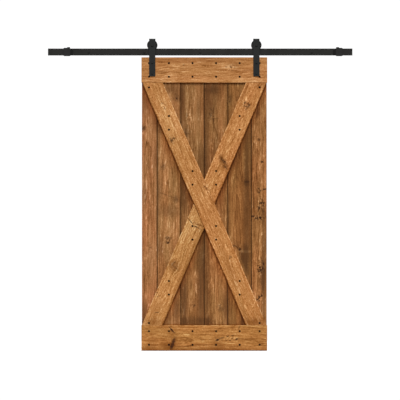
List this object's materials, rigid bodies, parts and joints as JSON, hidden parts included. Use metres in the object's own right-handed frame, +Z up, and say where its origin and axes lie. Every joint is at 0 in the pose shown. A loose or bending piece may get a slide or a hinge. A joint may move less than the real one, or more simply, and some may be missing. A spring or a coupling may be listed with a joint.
{
  "type": "sliding barn door",
  "caption": "Plank barn door with ledger boards and an X brace, hung on bent strap hangers whose grooved wheels roll along a flat wall track with end stops.",
  "frame": {"origin": "on the wall plane, at the rear face of the middle stand-off, behind the middle of the track", "axes": "+X along the track to the right, +Y into the wall, +Z up"},
  "size_m": [2.216, 0.1217, 2.2694],
  "materials": {
    "plank_wood": "stained knotty pine, satin",
    "board_wood": "stained knotty pine, satin",
    "black_screw": "black oxide",
    "black_steel": "matte black powder coat",
    "track_steel": "matte black powder coat",
    "wheel_steel": "matte black powder coat",
    "bearing_steel": "ground steel",
    "bumper_rubber": "matte"
  },
  "bodies": {
    "track": {"track_rail": "track_steel", "standoff_1": "black_steel", "standoff_2": "black_steel", "standoff_3": "black_steel", "standoff_4": "black_steel", "standoff_5": "black_steel", "lag_washers": "black_steel", "lag_screws": "black_steel", "left_stop_clamp": "black_steel", "left_stop_bolt": "black_steel", "left_stop_bumper": "bumper_rubber", "right_stop_clamp": "black_steel", "right_stop_bolt": "black_steel", "right_stop_bumper": "bumper_rubber"},
    "door": {"plank_1": "plank_wood", "plank_2": "plank_wood", "plank_3": "plank_wood", "plank_4": "plank_wood", "plank_5": "plank_wood", "plank_6": "plank_wood", "top_ledger": "board_wood", "bottom_ledger": "board_wood", "long_brace": "board_wood", "upper_half_brace": "board_wood", "lower_half_brace": "board_wood", "top_ledger_screws": "black_screw", "bottom_ledger_screws": "black_screw", "brace_screws": "black_screw", "strap_bolts": "black_steel", "strap_washers": "black_steel", "strap_rear_washers": "black_steel", "strap_nuts": "black_steel", "left_strap": "black_steel", "left_axle_bolt": "black_steel", "left_axle_washer": "black_steel", "left_axle_nut": "black_steel", "left_axle_bushes": "bearing_steel", "left_bearing_inner_ring": "bearing_steel", "right_strap": "black_steel", "right_axle_bolt": "black_steel", "right_axle_washer": "black_steel", "right_axle_nut": "black_steel", "right_axle_bushes": "bearing_steel", "right_bearing_inner_ring": "bearing_steel"},
    "left_roller": {"left_wheel": "wheel_steel", "left_bearing_outer_ring": "bearing_steel", "left_bearing_balls": "bearing_steel", "left_retaining_ring": "bearing_steel"},
    "right_roller": {"right_wheel": "wheel_steel", "right_bearing_outer_ring": "bearing_steel", "right_bearing_balls": "bearing_steel", "right_retaining_ring": "bearing_steel"}
  },
  "joints": [
    {"name": "door_slide", "type": "slide", "parent": "track", "child": "door", "axis": [1, 0, 0], "range_m": [-0.548, 0.53]},
    {"name": "left_wheel_spin", "type": "hinge", "parent": "door", "child": "left_roller", "pos_m": [-0.3487, -0.03818, 0.0497], "axis": [0, 1, 0], "continuous": true},
    {"name": "right_wheel_spin", "type": "hinge", "parent": "door", "child": "right_roller", "pos_m": [0.4087, -0.03818, 0.0497], "axis": [0, 1, 0], "continuous": true}
  ],
  "couplings": [
    {"joint": "left_wheel_spin", "follows": "door_slide", "rad_per_m": 41.667},
    {"joint": "right_wheel_spin", "follows": "door_slide", "rad_per_m": 41.667}
  ]
}
